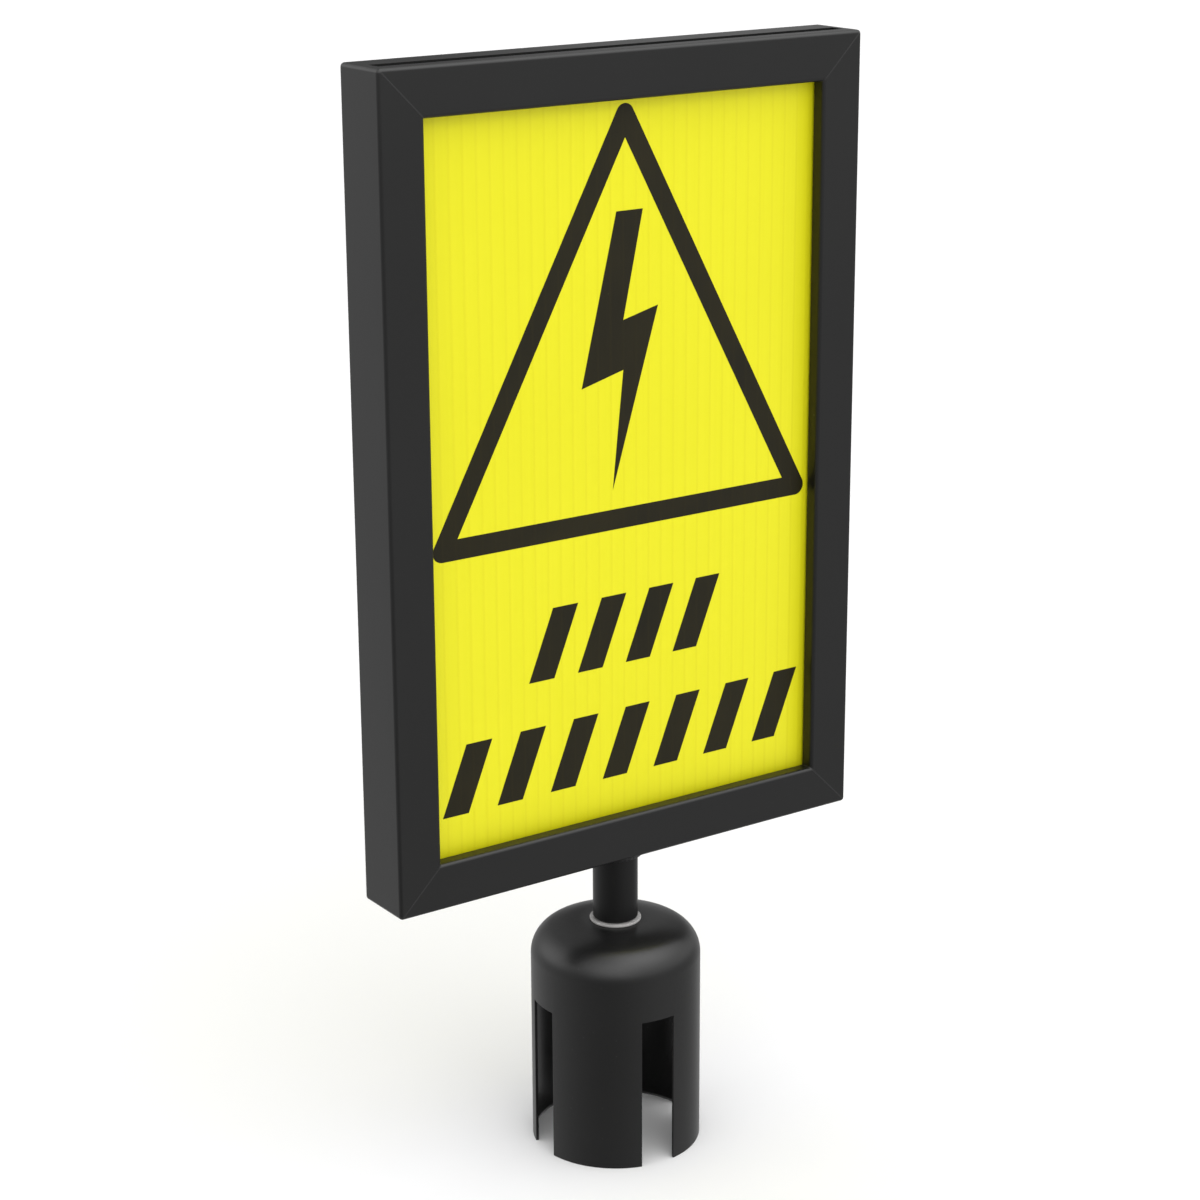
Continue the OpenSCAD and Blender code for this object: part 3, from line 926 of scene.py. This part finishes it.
# the print, in millimetres from the middle of the print and from the foot of the sheet
sheetPrint = {
    "film": 0.05 * mm,
    "shift": 1.0 * mm,
    "triangleHalf": 82.3 * mm, "triangleFoot": 136.4 * mm, "triangleHead": 289.4 * mm, "stroke": 8.0 * mm,
    "cornerSteps": 14,
    "flash": [(-4, 254), (8, 254), (-1, 213), (15, 217), (-6, 148), (-1, 194), (-20, 189)],
    "barLean": 0.40, "barWidth": 11.5 * mm,
    # name, bars, foot, head and width of each row
    "rows": [("upperBars", 4, 78.2 * mm, 106.3 * mm, 90 * mm),
             ("lowerBars", 7, 32.2 * mm, 59.8 * mm, 169 * mm)],
}


def buildEmblem(plan):
    # rounded warning triangle with a plain zigzag flash in it
    shape = bmesh.new()
    half, foot, head = plan["triangleHalf"], plan["triangleFoot"], plan["triangleHead"]
    corners = [Vector((-half, foot)), Vector((half, foot)), Vector((0, head))]
    radius = plan["stroke"] / 2
    back, front = sheetLow.y, sheetLow.y - plan["film"]

    def wall(points):
        # one closed outline on the sheet's face and again on the ink's
        xs = [(plan["shift"] + x, sheetLow.z + z) for x, z in points]
        lower = [shape.verts.new((x, back, z)) for x, z in xs]
        upper = [shape.verts.new((x, front, z)) for x, z in xs]
        for i in range(len(points)):
            shape.faces.new((lower[i - 1], lower[i], upper[i], upper[i - 1]))
        return lower, upper

    outer, inner, spans = [], [], []
    for i, corner in enumerate(corners):
        before = (corner - corners[i - 1]).normalized()
        after = (corners[(i + 1) % 3] - corner).normalized()
        start = math.degrees(math.atan2(-before.x, before.y))
        turn = math.degrees(before.angle_signed(after))
        points = arc(corner.x, corner.y, radius, start, start + abs(turn), plan["cornerSteps"])
        spans.append(range(len(outer), len(outer) + len(points)))
        outer += points
        bisector = (after - before).normalized()
        inward = radius / math.cos(math.radians(abs(turn)) / 2)
        inner.append(tuple(corner + bisector * inward))
    outerLoops, innerLoops = wall(outer), wall(inner)
    for outerLoop, innerLoop in zip(outerLoops, innerLoops):
        for i, span in enumerate(spans):
            shape.faces.new([outerLoop[k] for k in span] + [innerLoop[i]])
            following = (i + 1) % 3
            shape.faces.new((outerLoop[span[-1]], outerLoop[spans[following][0]],
                             innerLoop[following], innerLoop[i]))
    for loop in wall([(x * mm, z * mm) for x, z in plan["flash"]]):
        shape.faces.new(loop)
    return newPiece("warningEmblem", shape, paints["ink"])


hand(buildEmblem(sheetPrint), "sign", None)
bars = barsTree()
for rowName, count, low, high, width in sheetPrint["rows"]:
    overhang = sheetPrint["barWidth"] + sheetPrint["barLean"] * (high - low)
    centre = Vector((sheetPrint["shift"], sheetLow.y - sheetPrint["film"] / 2, sheetLow.z + (low + high) / 2))
    rowPiece = grow(rowName, bars, {
        "Bars": count, "Pitch": (width - overhang) / (count - 1), "Bar Width": sheetPrint["barWidth"],
        "Bar Height": high - low, "Film": sheetPrint["film"], "Lean": sheetPrint["barLean"],
        "Paint": paints["ink"]}, centre)
    hand(rowPiece, "sign", None)
print("print built")


studio = {
    "floorSize": 60.0, "floorTone": 0.96,
    "away": (0.569, 0.822, 0.0),           # level direction from the camera past the object
    "worldFront": 0.30, "worldSides": 0.96, "worldBack": 0.70,
    "sunStrength": 1.0, "sunAngle": 75.0,
    # what reflections see: level below the horizon, change above it, and glows on top of both,
    # each as bearing and height in degrees, strength and focus
    "groundLevel": 0.80, "skyStep": -0.35,
    "glows": [(-58, 59, 2.8, 6.3), (-134, 33, 2.8, 6.0), (138, 20, 2.2, 6.2), (-33, 1, 1.1, 0.3),
              (32, 15, -1.0, 10.0), (-138, -25, -0.45, 3.0), (0, -15, -0.35, 4.0), (82, -15, -0.30, 9.0),
              (-30, 85, 0.7, 6.0)],
}


def buildFloor():
    shape = bmesh.new()
    bmesh.ops.create_grid(shape, x_segments=2, y_segments=2, size=studio["floorSize"] / 2)
    material, tree, shader = openMaterial("paleFloor", {"Roughness": 0.9, "Specular IOR Level": 0.1})
    spot = put(tree, "ShaderNodeTexCoord").outputs["Object"]
    noise = put(tree, "ShaderNodeTexNoise", {"Vector": spot, "Scale": 3.0, "Detail": 2.0})
    tone = studio["floorTone"]
    clouded = mixColor(tree, noise.outputs["Fac"], grey(tone), grey(tone + 0.01))
    tree.links.new(clouded, shader.inputs["Base Color"])
    floor = newPiece("floor", shape, material)
    floor.visible_glossy = False           # reflections see the world's lower half instead


def buildWorld():
    # one soft light for the surfaces, and a room of softboxes that only reflections see
    world = bpy.data.worlds.new("studio")
    bpy.context.scene.world = world
    world.use_nodes = True
    tree = world.node_tree
    backdrop = tree.nodes["Background"]
    backdrop.inputs["Color"].default_value = grey(1.0)
    way = put(tree, "ShaderNodeTexCoord").outputs["Generated"]
    facing = put(tree, "ShaderNodeVectorMath", {0: way, 1: studio["away"]}, operation="DOT_PRODUCT")
    turnedAway = sums(tree, "MULTIPLY_ADD", facing.outputs["Value"], 0.5, 0.5)
    ramp = put(tree, "ShaderNodeValToRGB", {"Fac": turnedAway})
    stops = ramp.color_ramp.elements
    stops[0].color = grey(studio["worldFront"])
    stops[1].color = grey(studio["worldBack"])
    for where in (0.38, 0.62):
        stops.new(where).color = grey(studio["worldSides"])
    height = put(tree, "ShaderNodeSeparateXYZ", {"Vector": way}).outputs["Z"]
    horizon = put(tree, "ShaderNodeMapRange", {"Value": height, "From Min": -0.04, "From Max": 0.12},
                  interpolation_type="SMOOTHSTEP").outputs["Result"]
    sky, ground = studio["skyStep"], studio["groundLevel"]
    for bearing, rise, strength, focus in studio["glows"]:
        turn, lift = math.radians(bearing), math.radians(rise)
        centre = (math.cos(turn) * math.cos(lift), math.sin(turn) * math.cos(lift), math.sin(lift))
        near = put(tree, "ShaderNodeVectorMath", {0: way, 1: centre}, operation="DOT_PRODUCT").outputs["Value"]
        lobe = sums(tree, "POWER", sums(tree, "MAXIMUM", near, 0.0), focus)
        if rise > 0:
            sky = sums(tree, "MULTIPLY_ADD", lobe, strength, sky)
        else:
            ground = sums(tree, "MULTIPLY_ADD", lobe, strength, ground)
    reflected = sums(tree, "MAXIMUM", sums(tree, "MULTIPLY_ADD", horizon, sky, ground), 0.02)
    glossy = put(tree, "ShaderNodeLightPath").outputs["Is Glossy Ray"]
    strength = put(tree, "ShaderNodeMapRange",
                   {"Value": glossy, "To Min": ramp.outputs["Color"], "To Max": reflected}).outputs["Result"]
    tree.links.new(strength, backdrop.inputs["Strength"])


def buildShade():
    # the floor inside the cap, as reflections see it: in deep shade
    shape = bmesh.new()
    bmesh.ops.create_circle(shape, cap_ends=True, segments=48, radius=cap["radius"] - cap["wall"],
                            matrix=Matrix.Translation((0, 0, 1 * mm)))
    material = openMaterial("deepShade", {"Base Color": grey(0.30), "Roughness": 1.0,
                                          "Specular IOR Level": 0.0})[0]
    shade = newPiece("shade", shape, material)
    shade.visible_camera = False
    shade.visible_diffuse = False
    shade.visible_shadow = False


def areaLamp(name, power, width, height, spot, aim):
    lamp = bpy.data.lights.new(name, "AREA")
    lamp.shape = "RECTANGLE"
    lamp.size = width
    lamp.size_y = height
    lamp.energy = power
    holder = place(bpy.data.objects.new(name, lamp))
    holder.location = spot
    holder.rotation_euler = (Vector(aim) - Vector(spot)).to_track_quat("-Z", "Y").to_euler()
    holder.visible_glossy = False


def softSun():
    lamp = bpy.data.lights.new("overhead", "SUN")
    lamp.energy = studio["sunStrength"]
    lamp.angle = math.radians(studio["sunAngle"])
    holder = place(bpy.data.objects.new("overhead", lamp))
    holder.rotation_euler = Vector((0.15, 0.55, -1.0)).to_track_quat("-Z", "Y").to_euler()
    holder.visible_glossy = False


camera = {
    "place": Vector((-0.59838, -0.85447, 0.55110)),
    "azimuth": -34.698, "elevation": 17.252, "roll": -0.279,
    "lens": 84.714, "sensor": 36.0,
}


def buildCamera():
    # azimuth 0 looks along +Y; the roll is a slight tilt of the horizon
    azimuth, elevation, roll = [math.radians(camera[key]) for key in ("azimuth", "elevation", "roll")]
    backward = Vector((math.sin(azimuth) * math.cos(elevation), -math.cos(azimuth) * math.cos(elevation),
                       math.sin(elevation)))
    rightward = Vector((0, 0, 1)).cross(backward).normalized()
    upward = backward.cross(rightward)
    turnedRight = rightward * math.cos(roll) + upward * math.sin(roll)
    turnedUp = upward * math.cos(roll) - rightward * math.sin(roll)
    lens = bpy.data.cameras.new("camera")
    lens.lens = camera["lens"]
    lens.sensor_width = camera["sensor"]
    lens.clip_end = 200.0
    holder = place(bpy.data.objects.new("camera", lens))
    axes = Matrix((turnedRight, turnedUp, backward)).transposed()
    holder.matrix_world = Matrix.Translation(camera["place"]) @ axes.to_4x4()
    bpy.context.scene.camera = holder


buildFloor()
buildShade()
buildWorld()
softSun()
areaLamp("frontFill", 8.0, 1.6, 1.0, (-0.5, -2.2, 1.7), (0, 0, 0.25))
buildCamera()
bpy.context.scene.view_settings.view_transform = "Standard"
print("studio built")
